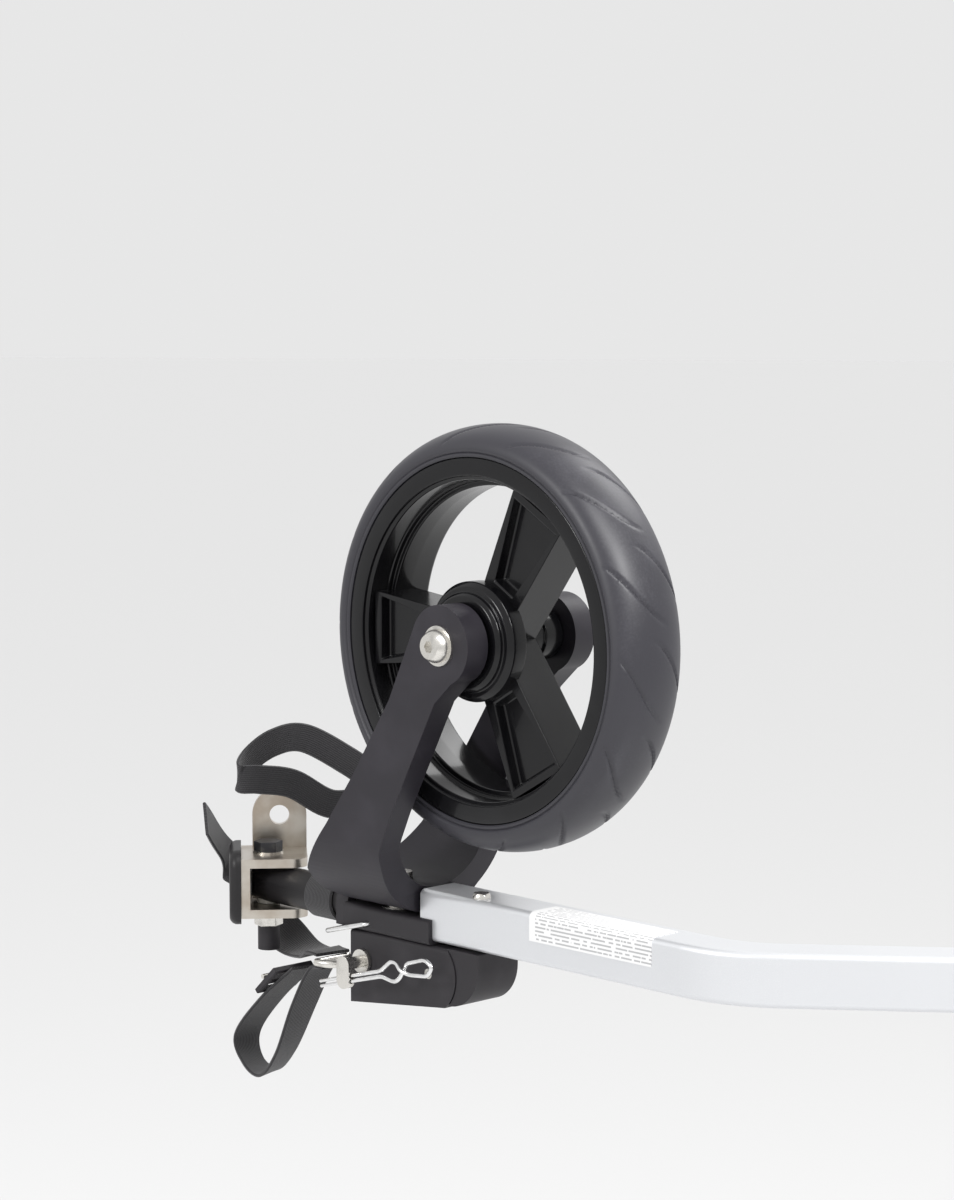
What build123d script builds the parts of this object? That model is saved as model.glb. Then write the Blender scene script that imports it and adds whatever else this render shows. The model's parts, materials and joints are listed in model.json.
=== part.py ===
from build123d import *

import math
import os

# Tow arm and stroller wheel of a child bicycle trailer, in millimetres.
# The origin is the centre of the trailer pivot bore at the arm's rear end, on the tube's
# centreline. +X runs forward-to-back towards the trailer, +Z is up, -Y is the near side.

# ---- driving dimensions: arm tube ----
TUBE_SIZE = 25.0
TUBE_WALL = 2.0
TUBE_CORNER = 3.0
REAR_END = 18.0
REAR_RUN = 400.0
BEND_RADIUS = 60.0
BEND_ANGLE = 40.0
WHEEL_AHEAD = 125.0
AXLE_HEIGHT = 138.0
PIVOT_BORE_R = 4.1
PIVOT_SLEEVE_R = 6.0
ARM_RIVET = (-9.0, -6.0)
ARM_RIVET_R = 2.4
RIVET_DEPTH = 4.0

# ---- driving dimensions: wheel and fork ----
TYRE_R = 101.5
TYRE_W = 43.0
RIM_SEAT_R = 80.0
RIM_FLANGE_R = 86.5
RIM_HALF_W = 20.0
RIM_LIP_R = 76.0
RIM_BARREL_R = 72.5
SPOKE_COUNT = 3
SPOKE_NEAR_Y = -15.0
SPOKE_FAR_Y = 10.0
SPOKE_HUB_W = 19.0
SPOKE_RIM_W = 36.0
SPOKE_LIP = 2.5
SPOKE_RECESS = 5.0
HUB_DISC_R = 28.5
HUB_BARREL_R = 11.0
AXLE_R = 4.0
FORK_GAP = 58.0
FORK_THICK = 13.0
EYE_R = 19.0
FORK_FLOOR_Z = -1.0
STEM_X = -72.0
STEM_R = 10.0
SLEEVE_WALL = 2.0
STEM_END_Z = -42.0

# ---- driving dimensions: head and socket housing ----
HEAD_HALF_W = TUBE_SIZE / 2 + 2.5
HEAD_FRONT_X = -98.7
HEAD_REAR_X = -36.5
HEAD_TOP_Z = -1.4
HEAD_BOTTOM_Z = -TUBE_SIZE / 2 - 1.5
TUBE_FRONT_X = -45.0
HOUSING_HALF_W = STEM_R + SLEEVE_WALL + 2.0
HOUSING_BOTTOM_Z = -51.0
HOUSING_REAR_Z = -42.0
LEVER_X = -38.0
LEVER_Z = -28.0
LEVER_SWEEP_R = 19.0
LEVER_TAIL_X = -4.0
LOBE_REACH = 8.9
LOBE_R = 3.0
SHOE_TRAVEL = 0.8
LOCK_PIN_R = 3.0
LOCK_PIN_X = STEM_X - STEM_R - 2.5
LOCK_PIN_Z = -29.0
HOUSING_FRONT_X = LOCK_PIN_X - 9.5
EYE_Y = -26.0
EYE_Z = -36.5
TONGUE_T = 4.0
TONGUE_R = 4.5
CLIP_SLOPE = 15.5
BAIL_X = -80.0
BAIL_Z = -9.5

# ---- driving dimensions: coupling and hitch ----
COUPLING_Z = -4.0
HITCH_X = -173.0
HITCH_ANGLE = 10.0
BARREL_R = 10.0
BOSS_R = 12.0
STUB_R = 5.0
BOLT_R = 4.0
YOKE_HALF_GAP = 10.75
YOKE_PLATE = 4.5
YOKE_HALF_W = 20.0
YOKE_REAR = 20.0
WEB_INNER = 9.4
AXLE_HOLE_R = 5.1
AXLE_HOLE = (6.0, 17.75, 32.0)
AXLE_TAB_R = 14.0
STRAP_W = 20.0
STRAP_T = 1.6
WIRE_R = 1.1

# ---- clearances ----
RUN = 0.05
FIT = 0.15
GAP = 0.3

bend_x = -REAR_RUN - BEND_RADIUS * math.sin(math.radians(BEND_ANGLE))
bend_y = BEND_RADIUS * (1 - math.cos(math.radians(BEND_ANGLE)))
arm_x = math.cos(math.radians(BEND_ANGLE))
arm_y = -math.sin(math.radians(BEND_ANGLE))
FRONT = Location((bend_x - WHEEL_AHEAD * arm_x, bend_y - WHEEL_AHEAD * arm_y, 0), (0, 0, -BEND_ANGLE))
SWIVEL = FRONT * Location((0, 0, COUPLING_Z))
HITCH = SWIVEL * Location((HITCH_X, 0, 0), (0, 0, BEND_ANGLE + HITCH_ANGLE))
nodes = {}


def block(x0, x1, y0, y1, z0, z1):
    """A box between two corners."""
    centre = Pos((x0 + x1) / 2, (y0 + y1) / 2, (z0 + z1) / 2)
    return centre * Box(x1 - x0, y1 - y0, z1 - z0)


def rod(start, end, radius):
    """A round rod from one point to another."""
    a, b = Vector(*start), Vector(*end)
    ends = (Align.CENTER, Align.CENTER, Align.MIN)
    return Plane(origin=a, z_dir=b - a) * Cylinder(radius, (b - a).length, align=ends)


def tube(start, end, outer, inner):
    """A round tube from one point to another."""
    return rod(start, end, outer) - rod(start, end, inner)


def side_plate(points, y0, y1):
    """A flat plate whose outline is in X and Z, between two Y planes."""
    outline = Plane.XZ * make_face(Polyline(*points, close=True))
    return Pos(0, y1, 0) * extrude(outline, y1 - y0)


def turned(points):
    """A solid turned about the wheel's Y axis from (radius, y) points."""
    return Pos(0, 0, AXLE_HEIGHT) * revolve(make_face(Polyline(*points, close=True)), Axis.Y)


def wire_form(points, radius):
    """Bent wire: a round run between each two points, with a ball at every bend."""
    solid = rod(points[0], points[1], radius)
    for start, end in zip(points[1:], points[2:]):
        solid += Pos(*start) * Sphere(radius)
        solid += rod(start, end, radius)
    return solid


def ribbon(stations, width, thickness):
    """Flat webbing through stations, each a point and the direction of the band's width."""
    spots = [Vector(*point) for point, across in stations]
    rings = []
    for i, (point, across) in enumerate(stations):
        along = (spots[min(i + 1, len(spots) - 1)] - spots[max(i - 1, 0)]).normalized()
        wide = Vector(*across)
        wide = (wide - along * wide.dot(along)).normalized()
        thick = along.cross(wide).normalized() * (thickness / 2)
        wide = wide * (width / 2)
        centre = spots[i]
        rings.append([centre + wide + thick, centre - wide + thick, centre - wide - thick, centre + wide - thick])
    faces = []
    for ring, after in zip(rings, rings[1:]):
        for k in range(4):
            a, b, c, d = ring[k], ring[(k + 1) % 4], after[(k + 1) % 4], after[k]
            faces += [Face(Wire.make_polygon([a, b, c])), Face(Wire.make_polygon([a, c, d]))]
    for ring in (rings[0], rings[-1]):
        faces.append(Face(Wire.make_polygon([ring[0], ring[1], ring[2]])))
        faces.append(Face(Wire.make_polygon([ring[0], ring[2], ring[3]])))
    return Solid(Shell(faces))


def square_bar(size, corner):
    """The tube's section, in the YZ plane."""
    return Plane.YZ * RectangleRounded(size, size, corner)


def bent_bar(size, corner, front_x, rear_x):
    """A square bar along the arm: rear run, bend and front run."""
    section = square_bar(size, corner)
    rear = Pos(-REAR_RUN, 0, 0) * extrude(section, REAR_RUN + rear_x)
    hinge = Axis((-REAR_RUN, BEND_RADIUS, 0), (0, 0, 1))
    bend = revolve(Pos(-REAR_RUN, 0, 0) * section, hinge, -BEND_ANGLE)
    front = FRONT * (Pos(front_x, 0, 0) * extrude(section, WHEEL_AHEAD - front_x))
    return rear + bend + front


def arm():
    """Bent tube with its trailer pivot, end plug, snap button, rivet and label."""
    inner = TUBE_SIZE - 2 * TUBE_WALL
    half = TUBE_SIZE / 2
    shell = bent_bar(TUBE_SIZE, TUBE_CORNER, TUBE_FRONT_X, REAR_END)
    hollow = bent_bar(inner, TUBE_CORNER - TUBE_WALL, TUBE_FRONT_X, REAR_END)
    sleeve_end = half + 0.5
    bore = rod((0, -half - 5, 0), (0, half + 5, 0), PIVOT_SLEEVE_R)
    nodes["pivot_sleeve"] = tube((0, -sleeve_end, 0), (0, sleeve_end, 0), PIVOT_SLEEVE_R, PIVOT_BORE_R)

    button_x, button_r = -62.0, 4.5
    button_hole = rod((button_x, 0, -half - 5), (button_x, 0, 0), button_r + FIT)
    rivet_hole = FRONT * rod((*ARM_RIVET, 0), (*ARM_RIVET, half + 5), ARM_RIVET_R)
    nodes["arm_tube"] = shell - hollow - bore - button_hole - rivet_hole

    cap = square_bar(TUBE_SIZE, TUBE_CORNER)
    core = square_bar(inner - 2 * FIT, TUBE_CORNER - TUBE_WALL)
    plug_depth, cap_thick = 10.0, 3.0
    plug = Pos(REAR_END, 0, 0) * extrude(cap, cap_thick)
    plug += Pos(REAR_END - plug_depth, 0, 0) * extrude(core, plug_depth)
    nodes["end_plug"] = plug

    flange_z = -half + TUBE_WALL + FIT
    button = rod((button_x, 0, -half - 4), (button_x, 0, flange_z), button_r)
    button += rod((button_x, 0, flange_z), (button_x, 0, flange_z + 1.5), button_r + 1.5)
    nodes["snap_button"] = button
    low, high = flange_z + 1.5 + FIT, half - TUBE_WALL - FIT
    leaf = [(button_x - 5, low), (button_x + 5, low), (button_x + 40, high - 1.2), (button_x + 40, high)]
    leaf += [(button_x + 38, high), (button_x + 4, low + 1), (button_x - 5, low + 1)]
    nodes["button_spring"] = side_plate(leaf, -3.5, 3.5)

    head = Pos(*ARM_RIVET, half) * (Sphere(4.5) & block(-9, 9, -9, 9, 0, 2.6))
    shank = rod((*ARM_RIVET, half - RIVET_DEPTH), (*ARM_RIVET, half), ARM_RIVET_R)
    nodes["arm_rivet"] = FRONT * (head + shank)

    label_near, label_far, label_t = 30.0, 108.0, 0.3
    wrap = square_bar(TUBE_SIZE + 2 * label_t, TUBE_CORNER + label_t)
    wrap = Pos(label_near, 0, 0) * extrude(wrap, label_far - label_near)
    wrap -= Pos(label_near, 0, 0) * extrude(cap, label_far - label_near)
    nodes["info_label"] = FRONT * (wrap & block(0, 200, -20, 5, -1, 20))


def head():
    """Moulded head: cradles the tube, holds the swivel stub and plugs into the tube with a spigot."""
    boss_front = -107.0
    body = block(HEAD_FRONT_X, HEAD_REAR_X, -HEAD_HALF_W, HEAD_HALF_W, HEAD_BOTTOM_Z, HEAD_TOP_Z)
    body = fillet(body.edges().filter_by(Axis.X), 2.5)
    boss = rod((boss_front, 0, COUPLING_Z), (HEAD_FRONT_X, 0, COUPLING_Z), BOSS_R)
    boss += block(boss_front, HEAD_FRONT_X, -BOSS_R, BOSS_R, HEAD_BOTTOM_Z, COUPLING_Z)
    cradle = square_bar(TUBE_SIZE + 2 * FIT, TUBE_CORNER)
    cradle = Pos(TUBE_FRONT_X - FIT, 0, 0) * extrude(cradle, 40)
    body = body + boss - cradle
    spigot = square_bar(TUBE_SIZE - 2 * TUBE_WALL - 2 * FIT, TUBE_CORNER - TUBE_WALL)
    shoulder = 1.0
    spigot = Pos(TUBE_FRONT_X - FIT - shoulder, 0, 0) * extrude(spigot, 46.0)
    body += spigot - rod((*ARM_RIVET, TUBE_SIZE / 2 - RIVET_DEPTH), (*ARM_RIVET, 20), ARM_RIVET_R)
    body -= rod((STEM_X, 0, -30), (STEM_X, 0, 5), STEM_R + RUN)
    body -= rod((boss_front - 1, 0, COUPLING_Z), (HEAD_FRONT_X + 1, 0, COUPLING_Z), STUB_R)
    flange_r, flange_t = 8.0, 2.0
    body -= rod((HEAD_FRONT_X - flange_t, 0, COUPLING_Z), (HEAD_FRONT_X + 1, 0, COUPLING_Z), flange_r)

    screw_xy = [(-53.0, 10.5), (-53.0, -10.5), (-90.3, 9.5), (-90.3, -9.5)]
    for x, y in screw_xy:
        body -= rod((x, y, -30), (x, y, -5), 2.0)
    nodes["head_shell"] = FRONT * body

    groove_x, stub_end = -125.0, -142.0
    stub = rod((HEAD_FRONT_X, 0, 0), (stub_end, 0, 0), STUB_R)
    stub += rod((HEAD_FRONT_X, 0, 0), (HEAD_FRONT_X - flange_t, 0, 0), flange_r)
    stub -= tube((groove_x - 2, 0, 0), (groove_x + 2, 0, 0), STUB_R + 1, 3.4)
    nodes["swivel_stub"] = SWIVEL * stub
    return screw_xy


def housing(screw_xy):
    """Lower housing: holds the fork's stem, the clamp shoe, the lever and the lock pin."""
    top = HEAD_BOTTOM_Z - FIT
    rear = LEVER_X + LEVER_SWEEP_R
    outline = [(HOUSING_FRONT_X, top), (rear, top), (rear, HOUSING_REAR_Z), (HOUSING_FRONT_X, HOUSING_BOTTOM_Z)]
    body = side_plate(outline, -HOUSING_HALF_W, HOUSING_HALF_W)
    body = fillet(body.edges().filter_by(Axis.X), 2.0)
    sweep_zone = block(LEVER_X, rear + 10, -20, 20, HOUSING_BOTTOM_Z - 5, top + 5)
    sweep_disc = rod((LEVER_X, -20, LEVER_Z), (LEVER_X, 20, LEVER_Z), LEVER_SWEEP_R)
    body -= sweep_zone - sweep_disc
    sleeve_r = STEM_R + SLEEVE_WALL
    body -= rod((STEM_X, 0, STEM_END_Z - 3), (STEM_X, 0, 0), sleeve_r)
    shoe_half_w, shoe_half_h, shoe_z = 7.0, 8.0, LEVER_Z
    room = GAP + SHOE_TRAVEL
    shoe_back = STEM_X + STEM_R + GAP + 9.0
    rod_r, rod_end = 4.0, LEVER_X - LOBE_REACH - 2 * GAP - SHOE_TRAVEL
    body -= block(STEM_X, shoe_back + room, -shoe_half_w - FIT, shoe_half_w + FIT,
                  shoe_z - shoe_half_h - FIT, shoe_z + shoe_half_h + FIT)
    body -= rod((shoe_back, 0, shoe_z), (LEVER_X, 0, shoe_z), rod_r + RUN)
    slot_half = 6.5
    body -= block(LEVER_X - 11.0, rear + 5, -slot_half, slot_half, HOUSING_BOTTOM_Z - 5, top + 1)
    body -= rod((LEVER_X, -20, LEVER_Z), (LEVER_X, 20, LEVER_Z), 2.5)
    body -= rod((LOCK_PIN_X, -20, LOCK_PIN_Z), (LOCK_PIN_X, 20, LOCK_PIN_Z), LOCK_PIN_R + RUN)
    screws = []
    for x, y in screw_xy:
        seat = HOUSING_BOTTOM_Z + 11.0
        body -= rod((x, y, seat), (x, y, 0), 2.0 + FIT)
        body -= rod((x, y, HOUSING_BOTTOM_Z - 2), (x, y, seat), 3.0)
        screws.append(rod((x, y, seat), (x, y, -6), 2.0) + rod((x, y, seat - 3), (x, y, seat), 2.8))
    nodes["socket_housing"] = FRONT * body
    nodes["housing_screws"] = Compound([FRONT * s for s in screws])

    sleeve = tube((STEM_X, 0, STEM_END_Z - 3), (STEM_X, 0, top), sleeve_r, STEM_R + RUN)
    sleeve -= block(STEM_X, STEM_X + 20, -shoe_half_w - FIT, shoe_half_w + FIT,
                    shoe_z - shoe_half_h - FIT, shoe_z + shoe_half_h + FIT)
    sleeve -= rod((LOCK_PIN_X, -20, LOCK_PIN_Z), (LOCK_PIN_X, 20, LOCK_PIN_Z), LOCK_PIN_R + RUN)
    nodes["stem_sleeve"] = FRONT * sleeve

    shoe_face = STEM_X + STEM_R + GAP
    shoe = block(shoe_face, shoe_back, -shoe_half_w, shoe_half_w, shoe_z - shoe_half_h, shoe_z + shoe_half_h)
    shoe += rod((shoe_back - 1, 0, shoe_z), (rod_end, 0, shoe_z), rod_r)
    nodes["clamp_shoe"] = FRONT * shoe
    nodes["lever_pin"] = FRONT * rod((LEVER_X, -HOUSING_HALF_W, LEVER_Z), (LEVER_X, HOUSING_HALF_W, LEVER_Z), 2.5)

    tail_r = 20.0
    tail_top, tail_low = top + 0.4, HOUSING_REAR_Z + 0.5
    tail = side_plate([(LEVER_X, tail_top), (LEVER_TAIL_X, tail_top), (LEVER_TAIL_X, tail_low), (LEVER_X, tail_low)],
                      -HOUSING_HALF_W + 0.5, HOUSING_HALF_W - 0.5)
    corner = tail.edges().filter_by(Axis.Y).sort_by(Axis.X)[-2:].sort_by(Axis.Z)[0]
    tail = fillet(corner, tail_r)
    tail -= rod((LEVER_X, -20, LEVER_Z), (LEVER_X, 20, LEVER_Z), LEVER_SWEEP_R + GAP + 0.1)
    tail -= block(LEVER_X - 50, LEVER_X, -20, 20, -60, 0)
    arm_bar = block(LEVER_X, LEVER_X + LEVER_SWEEP_R + 4, -slot_half + 0.5, slot_half - 0.5, LEVER_Z - 5, LEVER_Z + 5)
    hub = rod((LEVER_X, -slot_half + 0.5, LEVER_Z), (LEVER_X, slot_half - 0.5, LEVER_Z), 7.5)
    lobe_x = LEVER_X - LOBE_REACH + LOBE_R
    lobe = rod((lobe_x, -slot_half + 0.5, LEVER_Z), (lobe_x, slot_half - 0.5, LEVER_Z), LOBE_R)
    lever = tail + arm_bar + hub + lobe
    lever -= rod((LEVER_X, -20, LEVER_Z), (LEVER_X, 20, LEVER_Z), 2.5 + RUN)
    nodes["release_lever"] = FRONT * lever


def lock_pin():
    """Cross pin that keeps the fork's stem from turning, with the hairpin clip through its tongue."""
    near, far = EYE_Y + TONGUE_T / 2, HOUSING_HALF_W + 4.0
    pin = rod((LOCK_PIN_X, near, LOCK_PIN_Z), (LOCK_PIN_X, far, LOCK_PIN_Z), LOCK_PIN_R)
    collar_y = -HOUSING_HALF_W - GAP
    pin += rod((LOCK_PIN_X, collar_y - 2, LOCK_PIN_Z), (LOCK_PIN_X, collar_y, LOCK_PIN_Z), 2 * LOCK_PIN_R)
    tongue_y = (EYE_Y - TONGUE_T / 2, EYE_Y + TONGUE_T / 2)
    for z in (LOCK_PIN_Z, EYE_Z):
        pin += rod((LOCK_PIN_X, tongue_y[0], z), (LOCK_PIN_X, tongue_y[1], z), TONGUE_R)
    pin += block(LOCK_PIN_X - TONGUE_R, LOCK_PIN_X + TONGUE_R, *tongue_y, EYE_Z, LOCK_PIN_Z)
    at_eye = Location((LOCK_PIN_X, EYE_Y, EYE_Z), (0, -CLIP_SLOPE, 0))
    leg = WIRE_R + FIT
    hole = rod((-20, 0, -leg), (20, 0, -leg), WIRE_R + 2 * FIT)
    hole += rod((-20, 0, leg), (20, 0, leg), WIRE_R + 2 * FIT)
    nodes["lock_pin"] = FRONT * (pin - at_eye * hole)

    across = leg + GAP
    upper = [(-19, 0, leg), (27, 0, leg), (35.5, 0, 5), (39.5, 0, 4), (42.5, -across / 2 - 0.6, 0)]
    bow = [(47, 0, -2.8), (60, 0, -4.9), (64.5, 0, -1), (60, 0, 3.2), (47, 0, 2.8)]
    lower = [(42.5, across / 2 + 0.6, 0), (39.5, 0, -4), (35.5, 0, -5), (27, 0, -leg), (-19, 0, -leg)]
    nodes["retaining_clip"] = FRONT * at_eye * wire_form(upper + bow + lower, WIRE_R)


def bail():
    """Spring wire under the barrel, hooked into both sides of the head."""
    wire_r, side_y, bar_x, bar_z = 1.2, HEAD_HALF_W + 1.5, -110.0, -17.5
    hooks = [(BAIL_X, -HEAD_HALF_W + 4, BAIL_Z), (BAIL_X, -side_y, BAIL_Z), (bar_x, -side_y, bar_z)]
    hooks += [(bar_x, side_y, bar_z), (BAIL_X, side_y, BAIL_Z), (BAIL_X, HEAD_HALF_W - 4, BAIL_Z)]
    nodes["retaining_bail"] = FRONT * wire_form(hooks, wire_r)
    hole = rod((BAIL_X, -HEAD_HALF_W - 5, BAIL_Z), (BAIL_X, -HEAD_HALF_W + 4.3, BAIL_Z), wire_r + RUN)
    hole += rod((BAIL_X, HEAD_HALF_W - 4.3, BAIL_Z), (BAIL_X, HEAD_HALF_W + 5, BAIL_Z), wire_r + RUN)
    nodes["head_shell"] -= FRONT * hole


def fork():
    """U-shaped fork with a raked profile, its stem and the axle fasteners."""
    outer = FORK_GAP / 2 + FORK_THICK
    centre_z = FORK_FLOOR_Z + outer
    eye = math.radians(150)
    front_eye = (EYE_R * math.cos(eye), AXLE_HEIGHT + EYE_R * math.sin(eye))
    rear_eye = (EYE_R * math.cos(eye - math.pi), AXLE_HEIGHT + EYE_R * math.sin(eye - math.pi))
    outline = [front_eye, rear_eye, (-3.5, 110.5), (-33.8, 54.0), (-43.2, 33.5), (-44.0, 24.0)]
    outline += [(-47.0, 10.0), (-47.0, FORK_FLOOR_Z), (-92.0, FORK_FLOOR_Z), (-103.0, 8.0), (-102.0, 18.0)]
    outline += [(-80.5, 43.5), (-60.4, 70.5), (-34.9, 109.0)]
    side = side_plate(outline, -outer, outer) + rod((0, -outer, AXLE_HEIGHT), (0, outer, AXLE_HEIGHT), EYE_R)
    arch = rod((-150, 0, centre_z), (50, 0, centre_z), outer)
    arch += block(-150, 50, -outer, outer, centre_z, 200)
    arch -= rod((-151, 0, centre_z), (51, 0, centre_z), FORK_GAP / 2)
    arch -= block(-151, 51, -FORK_GAP / 2, FORK_GAP / 2, centre_z, 201)
    body = side & arch
    boss_room = 1.3
    body -= rod((-112, 0, COUPLING_Z), (HEAD_FRONT_X + 1.5, 0, COUPLING_Z), BOSS_R + boss_room)
    spigot_r, spigot_top = 7.0, 9.0
    body -= rod((STEM_X, 0, -5), (STEM_X, 0, spigot_top), spigot_r)
    head_low = FORK_FLOOR_Z + FORK_THICK
    bolt_head_r = 5.5
    body -= rod((STEM_X, 0, 0), (STEM_X, 0, 20), 3.0)
    body -= rod((STEM_X, 0, head_low), (STEM_X, 0, head_low + 5), bolt_head_r + GAP)
    body -= rod((0, -60, AXLE_HEIGHT), (0, 60, AXLE_HEIGHT), AXLE_R + RUN)
    nodes["wheel_fork"] = FRONT * body

    stem = rod((STEM_X, 0, STEM_END_Z), (STEM_X, 0, FORK_FLOOR_Z), STEM_R)
    stem += rod((STEM_X, 0, FORK_FLOOR_Z), (STEM_X, 0, spigot_top), spigot_r)
    stem -= rod((STEM_X, 0, -10), (STEM_X, 0, 20), 3.0)
    flat_x = LOCK_PIN_X + LOCK_PIN_R + GAP
    stem -= block(STEM_X - 20, flat_x, -20, 20, STEM_END_Z - 1, FORK_FLOOR_Z)
    nodes["fork_stem"] = FRONT * stem
    bolt = rod((STEM_X, 0, -9), (STEM_X, 0, head_low), 3.0)
    bolt += rod((STEM_X, 0, head_low), (STEM_X, 0, head_low + 4), bolt_head_r)
    nodes["stem_bolt"] = FRONT * bolt

    washer_t = 1.5
    shank = rod((0, -outer - washer_t, AXLE_HEIGHT), (0, outer + 9, AXLE_HEIGHT), AXLE_R)
    dome = Pos(0, -outer - washer_t, AXLE_HEIGHT) * (Sphere(8.0) & block(-9, 9, -5.5, 0, -9, 9))
    socket = Plane.XZ * RegularPolygon(3.0, 6)
    socket = Pos(0, -outer - washer_t - 3.2, AXLE_HEIGHT) * extrude(socket, 4)
    nodes["axle_bolt"] = FRONT * (shank + dome - socket)
    washers = []
    for y in (-outer - washer_t, outer):
        washers.append(tube((0, y, AXLE_HEIGHT), (0, y + washer_t, AXLE_HEIGHT), 9.5, AXLE_R + RUN))
    nodes["axle_washers"] = Compound([FRONT * w for w in washers])
    nut = Pos(0, outer + washer_t + 6.5, AXLE_HEIGHT) * extrude(Plane.XZ * RegularPolygon(7.5, 6), 6.5)
    nodes["axle_nut"] = FRONT * (nut - rod((0, 0, AXLE_HEIGHT), (0, 80, AXLE_HEIGHT), AXLE_R))


def wheel():
    """Tyre, one-piece moulded rim with three hollow spokes, bushes and dust caps."""
    half = TYRE_W / 2
    crown = []
    for k in range(-6, 7):
        turn = math.radians(15 * k)
        crown.append((TYRE_R - 13.0 + 13.0 * math.cos(turn) ** 0.95, half * math.sin(turn)))
    inner = RIM_SEAT_R + FIT
    flange = RIM_FLANGE_R + FIT
    seat_half = RIM_HALF_W - 3 - FIT
    face = RIM_HALF_W + FIT
    tyre = [(inner, seat_half), (inner, -seat_half), (flange, -seat_half), (flange, -face), (87.5, -half)]
    tyre += crown + [(87.5, half), (flange, face), (flange, seat_half)]
    nodes["tyre"] = FRONT * turned(tyre)

    step_y, land = -5.0, RIM_HALF_W - 3
    rim = [(RIM_LIP_R, -RIM_HALF_W), (RIM_FLANGE_R, -RIM_HALF_W), (RIM_FLANGE_R, -land), (RIM_SEAT_R, -land)]
    rim += [(RIM_SEAT_R, land), (RIM_FLANGE_R, land), (RIM_FLANGE_R, RIM_HALF_W), (RIM_BARREL_R + 1, RIM_HALF_W)]
    rim += [(RIM_BARREL_R, -step_y), (RIM_BARREL_R, step_y), (RIM_LIP_R, step_y)]
    body = turned(rim)
    near, far = -FORK_GAP / 2 + 0.5, FORK_GAP / 2 - 1.0
    hub = [(0, near), (14, near), (14, near + 1.5), (24, near + 1.5), (24, near + 3.5), (HUB_DISC_R, near + 3.5)]
    hub += [(HUB_DISC_R, -13.0), (HUB_BARREL_R, -13.0), (HUB_BARREL_R, far), (0, far)]
    body += turned(hub)
    reach = RIM_BARREL_R + 2.0
    for k in range(SPOKE_COUNT):
        turn = Pos(0, 0, AXLE_HEIGHT) * Rot(0, 60 + 360 / SPOKE_COUNT * k, 0)
        root, tip = SPOKE_HUB_W / 2, SPOKE_RIM_W / 2
        spoke = side_plate([(0, root), (reach, tip), (reach, -tip), (0, -root)], SPOKE_NEAR_Y, SPOKE_FAR_Y)
        body += turn * spoke
    for k in range(SPOKE_COUNT):
        turn = Pos(0, 0, AXLE_HEIGHT) * Rot(0, 60 + 360 / SPOKE_COUNT * k, 0)
        start, end = HUB_DISC_R + 1.0, RIM_BARREL_R - 2.5
        root = SPOKE_HUB_W / 2 - SPOKE_LIP + 1.0
        tip = SPOKE_RIM_W / 2 - SPOKE_LIP
        recess = [(start, root), (end, tip), (end, -tip), (start, -root)]
        body -= turn * side_plate(recess, SPOKE_NEAR_Y - 1, SPOKE_NEAR_Y + SPOKE_RECESS)
    bush_r, bush_flange = 7.0, 1.0
    body -= rod((0, -40, AXLE_HEIGHT), (0, 40, AXLE_HEIGHT), bush_r)
    nodes["wheel_rim"] = FRONT * body

    bushes = []
    for y0, y1 in ((near + bush_flange, near + 13), (far - 13, far - bush_flange)):
        bushes.append(tube((0, y0, AXLE_HEIGHT), (0, y1, AXLE_HEIGHT), bush_r, AXLE_R + RUN))
    nodes["hub_bushes"] = Compound([FRONT * b for b in bushes])
    caps = []
    for y0, y1 in ((near, near + bush_flange), (far - bush_flange, far)):
        caps.append(tube((0, y0, AXLE_HEIGHT), (0, y1, AXLE_HEIGHT), bush_r, AXLE_R + 0.4))
    nodes["hub_dust_caps"] = Compound([FRONT * c for c in caps])


def coupling():
    """Rubber-cased barrel that swivels on the head's stub and carries the pivot sleeve."""
    rear, front, round_r = -107.4, HITCH_X - 8.7, 8.7
    sleeve_r = 6.0
    barrel = rod((rear, 0, 0), (HITCH_X, 0, 0), BARREL_R)
    eye = rod((HITCH_X, 0, -BARREL_R), (HITCH_X, 0, BARREL_R), round_r)
    nose = rod((HITCH_X, 0, 0), (front - 2, 0, 0), BARREL_R)
    barrel = barrel + (eye & nose)
    barrel -= rod((rear + 1, 0, 0), (-145.0, 0, 0), STUB_R + RUN)
    barrel -= rod((HITCH_X, 0, -20), (HITCH_X, 0, 20), sleeve_r)
    pin_x, pin_z, pin_r = -125.0, 5.0, 1.5
    barrel -= rod((pin_x, -20, pin_z), (pin_x, 20, pin_z), pin_r)
    nodes["coupling_barrel"] = SWIVEL * barrel
    nodes["swivel_retaining_pin"] = SWIVEL * rod((pin_x, -7, pin_z), (pin_x, 7, pin_z), pin_r)
    height = YOKE_HALF_GAP - 0.25
    nodes["pivot_bush"] = SWIVEL * tube((HITCH_X, 0, -height), (HITCH_X, 0, height), sleeve_r, BOLT_R + RUN)
    loop = tube((-112.0, 0, 0), (-112.0 - STRAP_W, 0, 0), BARREL_R + FIT + STRAP_T, BARREL_R + FIT)
    nodes["strap_anchor"] = SWIVEL * loop


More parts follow.
